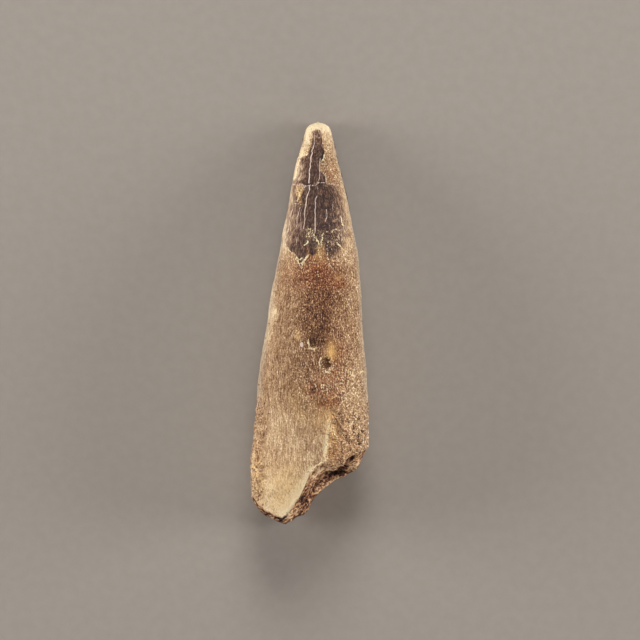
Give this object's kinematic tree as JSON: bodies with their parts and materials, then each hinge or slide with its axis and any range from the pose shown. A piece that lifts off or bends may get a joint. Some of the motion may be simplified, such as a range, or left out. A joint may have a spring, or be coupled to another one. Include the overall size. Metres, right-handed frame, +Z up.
{
  "type": "fossil plesiosaur tooth",
  "caption": "Fossil marine reptile tooth lying on its hollow side: dark enamel crown, gritty brown root and a slanting broken base.",
  "frame": {"origin": "centre of the bounding box's bottom face, on the surface that the tooth lies on", "axes": "+Y along the tooth from its broken base to its tip, +X to the right across its width with the pictured face up, +Z up"},
  "size_m": [0.0134, 0.045, 0.0108],
  "materials": {
    "fossil": "satin brown fossil enamel and dull gritty root"
  },
  "bodies": {
    "root": {"tooth": "fossil"}
  },
  "joints": []
}
